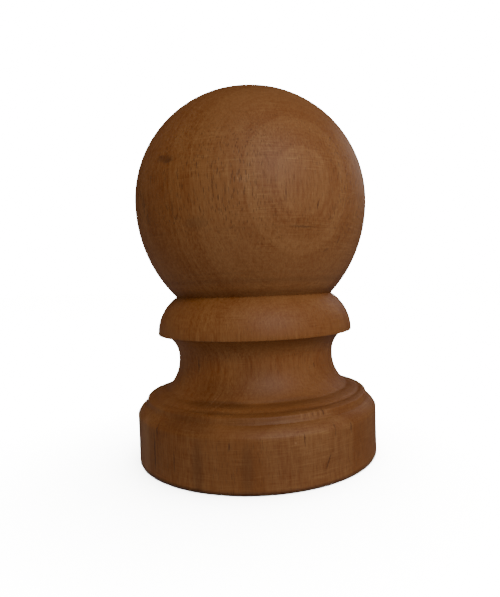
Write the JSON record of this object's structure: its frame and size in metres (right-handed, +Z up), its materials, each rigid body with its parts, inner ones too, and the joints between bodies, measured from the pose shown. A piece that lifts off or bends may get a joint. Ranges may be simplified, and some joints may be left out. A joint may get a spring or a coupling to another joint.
{
  "type": "ball post cap",
  "caption": "Turned hardwood post cap: a ball on a domed collar, with a coved neck and a round drum base that stands flat on a post.",
  "frame": {"origin": "centre of the flat underside of the base", "axes": "+Z up along the turning axis, from the underside to the top of the ball"},
  "size_m": [0.09, 0.09, 0.1355],
  "materials": {
    "turned_hardwood": "bare, finely sanded, matt"
  },
  "bodies": {
    "root": {"turned_cap": "turned_hardwood"}
  },
  "joints": []
}
